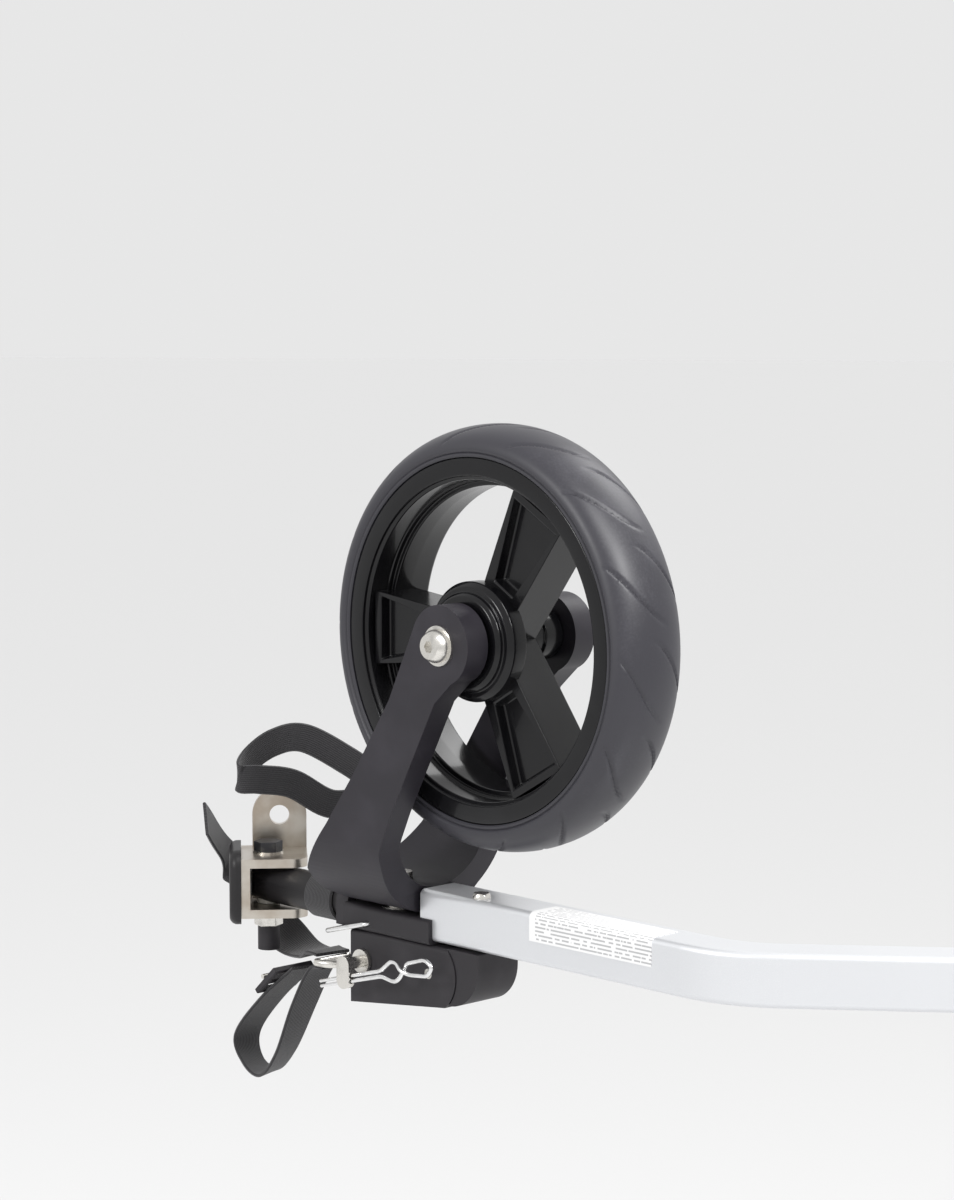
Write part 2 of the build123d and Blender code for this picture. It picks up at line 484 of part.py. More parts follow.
def hitch():
    """Steel yoke that clamps on the bicycle's axle, with its pad, pivot bolt and nut."""
    inner, outer = YOKE_HALF_GAP, YOKE_HALF_GAP + YOKE_PLATE
    web_x = -WEB_INNER - YOKE_PLATE
    flange = block(web_x, YOKE_REAR, -YOKE_HALF_W, YOKE_HALF_W, inner, outer)
    flange = fillet(flange.edges().filter_by(Axis.Z).sort_by(Axis.X)[-2:], 8.0)
    lower = Pos(0, 0, -inner - outer) * flange
    web = block(web_x, -WEB_INNER, -YOKE_HALF_W, YOKE_HALF_W, -outer, outer)
    hole_x, hole_y, hole_z = AXLE_HOLE
    tab_y0, tab_y1 = hole_y - YOKE_PLATE / 2, hole_y + YOKE_PLATE / 2
    tab = block(hole_x - AXLE_TAB_R, hole_x + AXLE_TAB_R, tab_y0, tab_y1, outer - 1, hole_z)
    tab += rod((hole_x, tab_y0, hole_z), (hole_x, tab_y1, hole_z), AXLE_TAB_R)
    yoke = flange + lower + web + tab
    yoke -= rod((hole_x, tab_y0 - 5, hole_z), (hole_x, tab_y1 + 5, hole_z), AXLE_HOLE_R)
    yoke -= rod((0, 0, -30), (0, 0, 30), BOLT_R + RUN)
    screw_r, screw_z = 2.0, 11.5
    pad_back, pad_front = web_x - 0.1, web_x - 6.1
    pad_half_w, pad_half_h = YOKE_HALF_W + 2, outer + 4
    pad = block(pad_front, pad_back, -pad_half_w, pad_half_w, -pad_half_h, pad_half_h)
    pad = fillet(pad.edges().filter_by(Axis.X), 9.0)
    pad = fillet(pad.faces().sort_by(Axis.X)[0].edges(), 4.0)
    screws = []
    screw_tip = web_x - 4.5
    for y in (-screw_z, screw_z):
        cut = rod((-WEB_INNER + 1, y, 0), (screw_tip, y, 0), screw_r)
        yoke -= cut
        pad -= cut
        head_disc = rod((-WEB_INNER, y, 0), (-WEB_INNER + 0.6, y, 0), 3.6)
        screws.append(HITCH * (rod((-WEB_INNER, y, 0), (screw_tip, y, 0), screw_r) + head_disc))
    nodes["hitch_yoke"] = HITCH * yoke
    nodes["yoke_pad"] = HITCH * pad
    nodes["pad_screws"] = Compound(screws)

    washer_t, washer_r, nut_t, bolt_tail = 1.2, 8.0, 6.0, 10.5
    head_z = outer + washer_t
    tip = -head_z - nut_t - bolt_tail
    bolt = rod((0, 0, tip), (0, 0, head_z), BOLT_R)
    bolt += Pos(0, 0, head_z) * extrude(RegularPolygon(7.5, 6), 5.0)
    nodes["pivot_bolt"] = HITCH * bolt
    washers = [tube((0, 0, outer), (0, 0, head_z), washer_r, BOLT_R + RUN)]
    washers.append(tube((0, 0, -head_z), (0, 0, -outer), washer_r, BOLT_R + RUN))
    nodes["pivot_washers"] = Compound([HITCH * w for w in washers])
    nut = Pos(0, 0, -head_z - nut_t) * extrude(RegularPolygon(7.5, 6), nut_t)
    nodes["pivot_nut"] = HITCH * (nut - rod((0, 0, -40), (0, 0, 0), BOLT_R))
    cap = rod((0, 0, tip - 2), (0, 0, -head_z - nut_t - GAP), 5.6)
    nodes["bolt_end_cap"] = HITCH * (cap - rod((0, 0, tip), (0, 0, 0), BOLT_R))


def strap():
    """Safety strap: wraps the bicycle's stay, runs behind the yoke and ends in a ring."""
    up = (0, 0, 1)
    lean = (0.25, 0.35, 0.9)
    wrap = [((-122, 3, 10.1), (1, 0, 0)), ((-133, 30, 20), (0.6, 0.2, 0.8)), ((-150, 50, 33), lean)]
    wrap += [((-158, 29, 35), up), ((-164, 9, 47), up), ((-169, -12, 52), up), ((-171, -21, 46), up)]
    wrap += [((-179, -10, 57), up), ((-181, 10, 66), up), ((-178, 29, 67), up), ((-166, 49, 54), up)]
    wrap += [((-156, 60, 43), up)]
    nodes["safety_strap"] = FRONT * ribbon(wrap, STRAP_W * 0.75, STRAP_T)
    back = (0.25, -0.25, 0.9)
    under = [((-199, -20, 28), (-0.7, 0.7, 0.3)), ((-209.5, -0.4, 10), (-0.6, 0.6, 0.5)), ((-204.6, 12.6, -10), back)]
    under += [((-194, 22, -30), (0.5, 0.2, 0.8)), ((-172, 19, -40), (0.4, 0.8, 0.3)), ((-148, 10, -39), (0.2, 1, 0.1))]
    under += [((-131, 0, -33.2), (0.1, 1, 0)), ((-121, -2, -32.8), (0, 1, 0))]
    nodes["strap_return"] = FRONT * ribbon(under, STRAP_W, STRAP_T)

    ring_x, ring_y, ring_z = -121.0, -2.0, -36.0
    ring = [(ring_x, ring_y - 11, ring_z), (ring_x + 9, ring_y - 9, ring_z), (ring_x + 12, ring_y, ring_z)]
    ring += [(ring_x + 9, ring_y + 9, ring_z), (ring_x, ring_y + 11, ring_z), (ring_x, ring_y - 11, ring_z)]
    nodes["strap_ring"] = FRONT * (Pos(ring[0]) * Sphere(2.0) + wire_form(ring, 2.0))
    tail = [((-121, -2, -39.2), (0, 1, 0)), ((-129, -3, -41.5), (0, 1, 0)), ((-140, -5, -62), (0, 1, 0))]
    tail += [((-152, -7, -88), (-0.2, 1, 0))]
    tail += [((-164, -8, -101), (-0.3, 1, 0)), ((-176, -9, -97), (-0.3, 1, 0)), ((-180, -9, -83), (0, 1, 0))]
    tail += [((-163, -7, -62), (0, 1, 0)), ((-141, -4, -43), (0, 1, 0))]
    nodes["strap_tail"] = FRONT * ribbon(tail, STRAP_W * 0.9, STRAP_T)
    slope = Location((-154, -6, -50), (0, -43, 0))
    frame_w, frame_l, frame_t = STRAP_W + 6, 20.0, 3.0
    frame = slope * Box(frame_l, frame_w, frame_t)
    for side in (-1, 1):
        frame -= slope * Pos(side * 4.8, 0, 0) * Box(6.0, STRAP_W, 10)
    nodes["strap_slider"] = FRONT * frame
    nodes["slider_bar"] = FRONT * (slope * Pos(0, 0, frame_t / 2 + 1.2) * Rot(90, 0, 0) * Cylinder(1.2, frame_w))


arm()
housing(head())
lock_pin()
bail()
fork()
wheel()
coupling()
hitch()
strap()

os.makedirs("parts", exist_ok=True)
for name, shape in nodes.items():
    export_step(shape, os.path.join("parts", name + ".step"))
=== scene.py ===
# %% [markdown]
# # Tow arm and stroller wheel of a child bicycle trailer
# A child bicycle trailer is pulled by one bent square tube. Its front end hooks on the bicycle's
# rear axle through a small steel yoke, and the stroller wheel rides along, parked upright in its
# fork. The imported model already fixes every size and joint, so this notebook only gives the
# pieces their looks: it loads that model, then rebuilds what needs a finer surface.

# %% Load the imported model
import bpy
import bmesh
import json
import math
from mathutils import Matrix, Vector


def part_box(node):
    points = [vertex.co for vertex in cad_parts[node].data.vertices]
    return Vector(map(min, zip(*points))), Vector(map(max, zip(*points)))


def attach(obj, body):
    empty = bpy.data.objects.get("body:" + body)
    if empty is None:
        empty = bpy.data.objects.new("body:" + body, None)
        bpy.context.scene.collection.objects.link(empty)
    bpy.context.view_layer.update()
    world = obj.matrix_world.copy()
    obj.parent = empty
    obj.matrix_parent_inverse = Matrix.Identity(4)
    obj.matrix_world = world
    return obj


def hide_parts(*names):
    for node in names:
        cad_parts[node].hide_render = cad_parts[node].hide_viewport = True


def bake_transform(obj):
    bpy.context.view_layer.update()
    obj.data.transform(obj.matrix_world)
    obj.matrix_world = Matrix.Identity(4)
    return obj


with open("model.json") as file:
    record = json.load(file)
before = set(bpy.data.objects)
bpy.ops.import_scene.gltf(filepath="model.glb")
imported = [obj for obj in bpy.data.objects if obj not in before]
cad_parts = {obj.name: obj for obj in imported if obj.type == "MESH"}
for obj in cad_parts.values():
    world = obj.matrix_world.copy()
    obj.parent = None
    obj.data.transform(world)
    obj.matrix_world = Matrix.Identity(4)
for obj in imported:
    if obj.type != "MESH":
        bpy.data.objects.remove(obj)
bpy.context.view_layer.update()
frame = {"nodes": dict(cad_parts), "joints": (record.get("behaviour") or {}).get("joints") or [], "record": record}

# %% [markdown]
# ## Three working frames
# The tube bends, so almost nothing at the front lies along X or Y. It is easier to think in
# millimetres along the front run, along the hub and along the yoke. Each frame below is a matrix
# that turns such local millimetres into the model's metres. The joints already hold the wheel's
# and the hitch's axes, so the frames are read from them and not typed in again.

# %% Frames for the front run, the hub and the yoke
UP = Vector((0, 0, 1))


def joint(name):
    return next(j for j in frame["joints"] if j["name"] == name)


def local_frame(origin, across):
    """A matrix from local millimetres to metres: X along, Y across and Z up."""
    across = Vector(across)
    turn = Matrix((across.cross(UP), across, UP)).transposed().to_4x4()
    return Matrix.Translation(origin) @ turn @ Matrix.Scale(0.001, 4)


wheel_centre = Vector(joint("wheel_spin")["pos_m"])
wheel_axis = Vector(joint("wheel_spin")["axis"])
axle_hole = next(m for m in frame["record"]["mounts"] if m["name"] == "axle_hole")
ARM = local_frame((wheel_centre.x, wheel_centre.y, 0), wheel_axis)
HUB = local_frame(wheel_centre, wheel_axis)
YOKE = local_frame(joint("hitch_yaw")["pos_m"], axle_hole["axis"])
print("wheel centre", tuple(round(v, 4) for v in wheel_centre))

# %% [markdown]
# ## Camera, floor and light
# The object is seen from a little above and from its near side with a long lens, which keeps the
# wheel's ellipse true. A camera needs only a place and two axes: it looks along minus its third
# axis. Soft studio light comes from large area lights and a pale world, because black plastic is
# read almost only by what it reflects. The floor lies at bicycle-arm height below the tube, so
# no backdrop is needed and every side stays open to the view.

# %% Camera
AZIMUTH = math.radians(6.0)
ELEVATION = math.radians(6.5)
DISTANCE = 1.560
SIDEWAYS = -0.01276
RAISED = 0.01796
FOCAL_MM = 99.0

right = Vector((math.cos(AZIMUTH), math.sin(AZIMUTH), 0))
level = Vector((math.sin(AZIMUTH), -math.cos(AZIMUTH), 0))
back = level * math.cos(ELEVATION) + UP * math.sin(ELEVATION)
top = UP * math.cos(ELEVATION) - level * math.sin(ELEVATION)
lens = bpy.data.cameras.new("camera")
lens.lens = FOCAL_MM
lens.sensor_width = 36.0
lens.clip_end = 50
camera = bpy.data.objects.new("camera", lens)
turn = Matrix((right, top, back)).transposed().to_4x4()
place = wheel_centre + back * DISTANCE + right * SIDEWAYS + top * RAISED
camera.matrix_world = Matrix.Translation(place) @ turn
bpy.context.scene.collection.objects.link(camera)
bpy.context.scene.camera = camera
bpy.context.scene.view_settings.view_transform = "Standard"
print("camera at", tuple(round(v, 3) for v in place))

# %% Floor, world and lamps
FLOOR_BELOW = 0.34
FLOOR_SIZE = 30.0
WORLD_GREY = 0.80
FLOOR_GREY = 0.588


def area_lamp(name, offset, size, power):
    """A square soft light aimed at the wheel, offset along the camera's right, back and up."""
    data = bpy.data.lights.new(name, "AREA")
    data.size = size
    data.energy = power
    lamp = bpy.data.objects.new(name, data)
    spot = wheel_centre + right * offset[0] + level * offset[1] + UP * offset[2]
    look = (spot - wheel_centre).to_track_quat("Z", "Y").to_matrix().to_4x4()
    lamp.matrix_world = Matrix.Translation(spot) @ look
    bpy.context.scene.collection.objects.link(lamp)


def sun_lamp(name, towards, strength, spread):
    """Even light from one direction; spread in degrees makes it soft."""
    data = bpy.data.lights.new(name, "SUN")
    data.energy = strength
    data.angle = math.radians(spread)
    lamp = bpy.data.objects.new(name, data)
    sky = right * towards[0] + level * towards[1] + UP * towards[2]
    lamp.matrix_world = sky.to_track_quat("Z", "Y").to_matrix().to_4x4()
    bpy.context.scene.collection.objects.link(lamp)


world = bpy.data.worlds.new("studio")
world.use_nodes = True
world.node_tree.nodes["Background"].inputs["Color"].default_value = (WORLD_GREY,) * 3 + (1,)
world.node_tree.nodes["Background"].inputs["Strength"].default_value = 1.0
bpy.context.scene.world = world
area_lamp("strip_right", (0.9, 0.9, 0.9), 0.4, 14)
area_lamp("strip_left", (-1.1, 0.8, 0.6), 0.4, 9)
sun_lamp("key", (0.5, 0.75, 1.5), 1.25, 25)
sun_lamp("back", (0.9, -1.0, 1.2), 0.9, 30)
lamps = [o.name for o in bpy.data.objects if o.type == "LIGHT"]
print("lamps", lamps)

# %% [markdown]
# ## A small language for shaders
# A material is a graph of nodes. Placing them by hand in Python is long, so one class wraps a
# socket and lets ordinary arithmetic add the Math nodes, and one method adds every other node:
# its settings go in first, because they decide which sockets it has, and then its inputs.

# %% Sockets that do arithmetic
class Value:
    """One socket of a material; arithmetic on it adds Math nodes."""

    def __init__(self, finish, socket):
        self.finish = finish
        self.socket = socket

    def math(self, operation, *values):
        inputs = dict(enumerate(values))
        return self.finish.add("ShaderNodeMath", {"operation": operation}, inputs)

    def __add__(self, other):
        return self.math("ADD", self, other)

    def __sub__(self, other):
        return self.math("SUBTRACT", self, other)

    def __rsub__(self, other):
        return self.math("SUBTRACT", other, self)

    def __mul__(self, other):
        return self.math("MULTIPLY", self, other)

    def __pow__(self, other):
        return self.math("POWER", self, other)

    __radd__ = __add__
    __rmul__ = __mul__

    def wave(self):
        return self.math("SINE", self)

    def size(self):
        return self.math("ABSOLUTE", self)

    def part(self):
        return self.math("FRACT", self)

    def whole(self):
        return self.math("FLOOR", self)

    def above(self, edge):
        return self.math("GREATER_THAN", self, edge)

    def ramp(self, low, high, to_low=0.0, to_high=1.0):
        """Rises smoothly from to_low to to_high while this value goes from low to high."""
        settings = {"interpolation_type": "SMOOTHSTEP"}
        inputs = {0: self, 1: low, 2: high, 3: to_low, 4: to_high}
        return self.finish.add("ShaderNodeMapRange", settings, inputs)


class Finish:
    """A material with one Principled shader, and the nodes that feed it."""

    def __init__(self, name, colour, roughness, **sockets):
        self.material = bpy.data.materials.new(name)
        self.material.use_nodes = True
        self.tree = self.material.node_tree
        self.shader = self.tree.nodes["Principled BSDF"]
        self.colour = (*colour, 1.0)
        self.set("Base Color", self.colour)
        self.set("Roughness", roughness)
        for socket, value in sockets.items():
            self.set(socket.replace("_", " "), value)
        self.normal = None
        self.material.diffuse_color = self.colour

    def set(self, socket, value):
        self.link(self.shader.inputs[socket], value)

    def link(self, socket, value):
        if isinstance(value, Value):
            self.tree.links.new(value.socket, socket)
        else:
            socket.default_value = value

    def add(self, kind, settings=None, inputs=None, output=0):
        """Any node: its type, its settings, the values or links of its sockets, and the output wanted."""
        node = self.tree.nodes.new(kind)
        for key, value in (settings or {}).items():
            setattr(node, key, value)
        for key, value in (inputs or {}).items():
            self.link(node.inputs[key], value)
        return Value(self, node.outputs[output])

    def place(self):
        return self.add("ShaderNodeTexCoord", output="Object")

    def along(self, local):
        """Object coordinates as local millimetres: X, Y and Z sockets in the given frame."""
        inverse = local.inverted()
        turn = inverse.to_euler()
        inputs = {"Vector": self.place(), "Location": inverse.translation, "Rotation": turn}
        inputs["Scale"] = inverse.to_scale()
        mapped = self.add("ShaderNodeMapping", {"vector_type": "POINT"}, inputs)
        split = self.add("ShaderNodeSeparateXYZ", None, {0: mapped})
        return mapped, [Value(self, s) for s in split.socket.node.outputs]

    def noise(self, per_metre, detail=2.0, vector=None, stretch=(1, 1, 1)):
        """Cloudy values from 0 to 1, that many clouds to the metre along each stretched axis."""
        scale = tuple(per_metre * s for s in stretch)
        spot = self.add("ShaderNodeMapping", None, {"Vector": vector or self.place(), "Scale": scale})
        return self.add("ShaderNodeTexNoise", None, {"Vector": spot, "Scale": 1.0, "Detail": detail})

    def tint(self, mask, colour, base=None):
        """The base colour, going over to another where mask is 1."""
        inputs = {0: mask, 6: base or self.colour, 7: (*colour, 1.0)}
        mixed = self.add("ShaderNodeMix", {"data_type": "RGBA"}, inputs, output=2)
        self.set("Base Color", mixed)
        return mixed

    def bump(self, height, depth_mm, strength=1.0):
        """Adds relief: height 1 stands depth_mm above height 0."""
        inputs = {"Height": height, "Distance": depth_mm * 0.001, "Strength": strength}
        if self.normal:
            inputs["Normal"] = self.normal
        self.normal = self.add("ShaderNodeBump", None, inputs)
        self.set("Normal", self.normal)


print("shader helpers ready")

# %% [markdown]
# ## Plastics and rubber
# Four blacks meet on this object and tell its pieces apart. The head, housing and lever are
# glass-filled nylon, warm and matt with a fine mould grain. The fork is smoother and catches a
# soft sheen. The rim is polished, so it mirrors the lamps in thin bright lines. The tyre is foam
# rubber with a satin skin. Each starts from one dark colour and gains cloudy variation, grain as
# bump, and a roughness that is never quite even.

# %% Moulded plastics
def moulded(name, colour, roughness, grain_mm, dust):
    """Matt moulded plastic with grain and a faint paler bloom."""
    finish = Finish(name, colour, roughness, Specular_IOR_Level=0.36)
    cloud = finish.noise(38, 4)
    grain = finish.noise(1700, 2)
    bloom = cloud.ramp(0.42, 0.78) * dust
    finish.tint(bloom, tuple(c * 1.9 + 0.006 for c in colour))
    finish.set("Roughness", roughness + (cloud - 0.5) * 0.14 + (grain - 0.5) * 0.10)
    finish.bump(grain, grain_mm)
    return finish.material


FINISHES = {}
FINISHES["black_plastic"] = moulded("black_plastic", (0.020, 0.018, 0.021), 0.54, 0.020, 0.55)
FINISHES["fork_black"] = moulded("fork_black", (0.017, 0.015, 0.020), 0.46, 0.010, 0.45)
FINISHES["black_rubber"] = moulded("black_rubber", (0.012, 0.011, 0.012), 0.42, 0.012, 0.30)


def polished_rim():
    coat = {"Coat_Weight": 0.25, "Coat_Roughness": 0.07}
    finish = Finish("rim_black", (0.0035, 0.0034, 0.0042), 0.20, Specular_IOR_Level=0.22, **coat)
    cloud = finish.noise(30, 3)
    ripple = finish.noise(160, 1)
    finish.tint(cloud.ramp(0.45, 0.85), (0.008, 0.008, 0.009))
    finish.set("Roughness", 0.17 + cloud * 0.13)
    finish.bump(ripple, 0.018)
    finish.bump(finish.noise(1500, 2), 0.0015)
    return finish.material


def tyre_skin():
    """Foam rubber: satin, with paler scuffs on the crown and darker, rougher sidewalls."""
    finish = Finish("tyre_rubber", (0.028, 0.027, 0.034), 0.38, Specular_IOR_Level=0.5)
    hub, (x, y, z) = finish.along(HUB)
    radius = (x * x + z * z) ** 0.5
    cloud = finish.noise(24, 5)
    fine = finish.noise(900, 3)
    crown = radius.ramp(90.0, 101.0)
    scuff = (cloud * 0.7 + fine * 0.3).ramp(0.46, 0.70) * crown
    finish.tint(scuff * 0.6, (0.068, 0.066, 0.078))
    finish.set("Roughness", 0.46 - crown * 0.06 + (cloud - 0.5) * 0.20 + (fine - 0.5) * 0.08)
    finish.bump(fine, 0.016)
    finish.bump(finish.noise(75, 2), 0.10, 0.6)
    return finish.material


FINISHES["rim_black"] = polished_rim()
FINISHES["tyre_rubber"] = tyre_skin()


def bearing_plastic():
    finish = Finish("bearing_plastic", (0.50, 0.49, 0.45), 0.5)
    finish.tint(finish.noise(260, 2).ramp(0.4, 0.7), (0.40, 0.39, 0.36))
    finish.bump(finish.noise(1400, 2), 0.006)
    return finish.material


FINISHES["bearing_plastic"] = bearing_plastic()
print("plastics", sorted(FINISHES))

# %% [markdown]
# ## Metals
# The tube is silver powder coat over aluminium: a fine sparkle, a soft gloss and no mirror. The
# bolts and wires are bright zinc, with hairline scratches that stretch along one direction. The
# yoke is brushed steel under a clear coat, and its bronze patches are painted brown reflection.
# A metal's colour is its reflection, so most of the work is in roughness and in the fine relief.

# %% Silver coat, bright wire and brushed steel
def silver_tube():
    coat = {"Coat_Weight": 0.25, "Coat_Roughness": 0.22}
    finish = Finish("silver_tube", (0.66, 0.67, 0.69), 0.36, Metallic=0.55, **coat)
    flake = finish.noise(5200, 1)
    cloud = finish.noise(14, 3)
    finish.tint((flake - 0.5).ramp(0.02, 0.2) * 0.5 + cloud * 0.2, (0.80, 0.81, 0.83))
    finish.set("Roughness", 0.33 + cloud * 0.08 + (flake - 0.5) * 0.12)
    finish.bump(finish.noise(420, 2), 0.006)
    finish.bump(flake, 0.003)
    return finish.material


def bright_metal(name, colour, roughness, scratch):
    """Plated metal with hairlines and duller patches."""
    finish = Finish(name, colour, roughness, Metallic=1.0)
    hair = finish.noise(500, 3, stretch=(1, 1, 9))
    patch = finish.noise(150, 3)
    finish.tint(patch.ramp(0.45, 0.8), tuple(c * 0.72 for c in colour))
    finish.set("Roughness", roughness + (patch - 0.4) * 0.22 + (hair - 0.5) * 0.12)
    finish.bump(hair, scratch)
    return finish.material


def brushed_yoke_painted_reflection():
    coat = {"Coat_Weight": 0.2, "Coat_Roughness": 0.15}
    finish = Finish("yoke_steel", (0.60, 0.56, 0.50), 0.26, Metallic=1.0, **coat)
    yoke, (x, y, z) = finish.along(YOKE)
    brush = finish.noise(1, 3, vector=yoke, stretch=(0.12, 0.35, 3.5))
    patch = finish.noise(70, 3)
    # painted reflection: the bronze patches in the base colour stand in for brown reflections on the polished
    # steel
    finish.tint(patch.ramp(0.35, 0.75) * 0.8, (0.40, 0.33, 0.26))
    finish.set("Roughness", 0.22 + brush * 0.16 + patch * 0.06)
    finish.bump(brush, 0.012)
    return finish.material


def black_steel():
    finish = Finish("black_steel", (0.042, 0.042, 0.047), 0.38, Metallic=0.7)
    patch = finish.noise(220, 3)
    finish.tint(patch.ramp(0.5, 0.8), (0.09, 0.088, 0.085))
    finish.set("Roughness", 0.32 + patch * 0.2)
    finish.bump(finish.noise(1200, 2), 0.008)
    return finish.material


FINISHES["silver_tube"] = silver_tube()
FINISHES["zinc_steel"] = bright_metal("zinc_steel", (0.74, 0.72, 0.68), 0.24, 0.006)
FINISHES["spring_steel"] = bright_metal("spring_steel", (0.82, 0.82, 0.82), 0.20, 0.004)
FINISHES["yoke_steel"] = brushed_yoke_painted_reflection()
FINISHES["black_steel"] = black_steel()
print("metals", sorted(FINISHES))

# %% [markdown]
# ## Webbing and the label
# Strap webbing is a plain weave: threads along the band pass over and under threads across it.
# The weave has to follow the band round every bend, so it reads the strap's own UV map, which
# holds millimetres along and across. The label is a white film with rows of grey bars where a
# real one has print, because a reusable part carries no words.

# %% Woven webbing and a blank label
WARP_MM = 1.05
WEFT_MM = 0.80
LABEL_ROW_MM = 1.9
LABEL_PRINT = (34.0, 109.0)


def woven():
    """Warp ribs that dip where a weft thread crosses, every other one out of step."""
    finish = Finish("webbing", (0.0105, 0.010, 0.0115), 0.72, Sheen_Weight=0.25, Sheen_Roughness=0.45)
    cloth = finish.add("ShaderNodeUVMap", {"uv_map": "band"})
    split = finish.add("ShaderNodeSeparateXYZ", None, {0: cloth}).socket.node.outputs
    along, across = Value(finish, split[0]), Value(finish, split[1])
    warp = across * (1 / WARP_MM)
    step = (warp.whole() * 0.5).part() * 2
    rib = (warp * math.pi).wave().size()
    dip = (along * (math.pi / WEFT_MM) + step * (math.pi / 2)).wave().size()
    weave = rib * 0.6 + dip * rib * 0.4
    cloud = finish.noise(60, 3)
    finish.tint(weave.ramp(0.45, 1.0) * 0.6 + cloud * 0.25, (0.034, 0.032, 0.036))
    finish.set("Roughness", 0.85 - weave * 0.22)
    finish.bump(weave, 0.20)
    finish.bump(finish.noise(3500, 2), 0.03)
    return finish.material


def blank_label():
    """White film; rows of grey bars stand for print on its near and top faces."""
    finish = Finish("label_white", (0.80, 0.80, 0.80), 0.34, Coat_Weight=0.3, Coat_Roughness=0.2)
    arm, (x, y, z) = finish.along(ARM)
    rows = (z + y) * (1 / LABEL_ROW_MM)
    line = rows.part()
    in_row = line.above(0.30) * (1 - line.above(0.72))
    spot = finish.add("ShaderNodeCombineXYZ", None, {0: x * 0.42, 1: rows.whole() * 7.3})
    bars = finish.add("ShaderNodeTexNoise", None, {"Vector": spot, "Scale": 1.0, "Detail": 1.0})
    word = bars.above(0.44)
    inside = x.above(LABEL_PRINT[0]) * (1 - x.above(LABEL_PRINT[1]))
    printed = in_row * word * inside
    finish.tint(printed * 0.75, (0.30, 0.30, 0.31))
    finish.set("Roughness", 0.32 + finish.noise(300, 2) * 0.10)
    finish.bump(finish.noise(500, 2), 0.004)
    return finish.material


FINISHES["webbing"] = woven()
FINISHES["label_white"] = blank_label()
print("finishes", len(FINISHES))

# %% [markdown]
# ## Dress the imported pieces
# Every CAD node names the finish it should have, so one loop gives each its material through its
# slot. Pieces that are rebuilt further on take the same finishes.

# %% Finishes on the CAD nodes
SLOT_OF = {s["node"]: s["material_slot"] for s in frame["record"]["subparts"]}
for node, slot in SLOT_OF.items():
    mesh = frame["nodes"][node].data
    mesh.materials.clear()
    mesh.materials.append(FINISHES[slot])
print("dressed", len(SLOT_OF), "nodes")

# %% The floor
floor = bpy.data.meshes.new("floor")
half = FLOOR_SIZE / 2
corners = [(-half, -half), (half, -half), (half, half), (-half, half)]
floor.from_pydata([(x, y, -FLOOR_BELOW) for x, y in corners], [], [(0, 1, 2, 3)])
pale = Finish("floor_pale", (FLOOR_GREY,) * 3, 0.9, Specular_IOR_Level=0.1)
pale.set("Roughness", 0.85 + pale.noise(3, 2) * 0.1)
floor.materials.append(pale.material)
ground = bpy.data.objects.new("floor", floor)
bpy.context.scene.collection.objects.link(ground)
print("floor", FLOOR_SIZE, "m")

# %% [markdown]
# ## Tools for making pieces
# Each piece is built in local millimetres and moved into the model by its frame's matrix, so its
# object stays at the origin. A lathe spins an outline about the hub's axis. Real mouldings have
# no sharp corners, so outlines are rounded first: each corner becomes a small arc, held to under
# half of its shorter side.

# %% Building, rounding and handing over
def link_mesh(name, vertices, faces, local):
    """A mesh in local millimetres becomes an object in the model's metres."""
    mesh = bpy.data.meshes.new(name)
    mesh.from_pydata([tuple(v) for v in vertices], [], faces)
    mesh.transform(local)
    tidy_mesh(mesh)
    piece = bpy.data.objects.new(name, mesh)
    bpy.context.scene.collection.objects.link(piece)
    return piece


def tidy_mesh(mesh, crease=35):
    """Joins doubled points, turns faces outwards and smooths all but the creases."""
    work = bmesh.new()
    work.from_mesh(mesh)
    bmesh.ops.remove_doubles(work, verts=work.verts, dist=1e-6)
    bmesh.ops.recalc_face_normals(work, faces=work.faces)
    work.to_mesh(mesh)
    work.free()
    mesh.shade_smooth()
    mesh.set_sharp_from_angle(angle=math.radians(crease))


def baked(piece):
    """Turns the piece's modifiers into plain mesh."""
    bpy.context.view_layer.update()
    depsgraph = bpy.context.evaluated_depsgraph_get()
    mesh = bpy.data.meshes.new_from_object(piece.evaluated_get(depsgraph))
    piece.modifiers.clear()
    old = piece.data
    piece.data = mesh
    bpy.data.meshes.remove(old)
    return piece


def hand_over(piece, body, *nodes, finish=None):
    """Gives the piece its finish, its body and the CAD nodes that it stands for."""
    finish = finish or SLOT_OF[nodes[0]]
    piece.data.materials.clear()
    piece.data.materials.append(FINISHES[finish])
    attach(piece, body)
    if nodes:
        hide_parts(*nodes)
    count = sum(len(f.vertices) - 2 for f in piece.data.polygons)
    print(piece.name, "on", body, count, "triangles")
    return piece


def corner_curve(before, corner, after, radius, share, steps):
    """A curve in place of one corner, which takes no more than that share of either side."""
    reach = min(radius, share * (before - corner).length, share * (after - corner).length)
    start = corner + (before - corner).normalized() * reach
    end = corner + (after - corner).normalized() * reach
    result = []
    for k in range(steps + 1):
        t = k / steps
        result.append(start * (1 - t) ** 2 + corner * 2 * t * (1 - t) + end * t ** 2)
    return result


def rounded(outline, radius, steps=4):
    """A closed outline with each corner as a curve of that radius, where its sides allow."""
    outline = [Vector(corner) for corner in outline]
    result = []
    for before, corner, after in zip(outline[-1:] + outline, outline, outline[1:] + outline[:1]):
        result += corner_curve(before, corner, after, radius, 0.45, steps)
    return result


def ring_faces(rings, count, closed=True):
    """Quads between rings of count points each; closed joins the last ring to the first."""
    faces = []
    for i in range(rings if closed else rings - 1):
        here, there = i * count, (i + 1) % rings * count
        for k in range(count):
            after = (k + 1) % count
            faces.append((here + k, here + after, there + after, there + k))
    return faces


def lathe(name, outline, local, steps=180):
    """A closed (radius, across) outline turned about the local Y axis."""
    vertices = []
    for i in range(steps):
        turn = 2 * math.pi * i / steps
        vertices += [(r * math.cos(turn), y, r * math.sin(turn)) for r, y in outline]
    return link_mesh(name, vertices, ring_faces(steps, len(outline)), local)


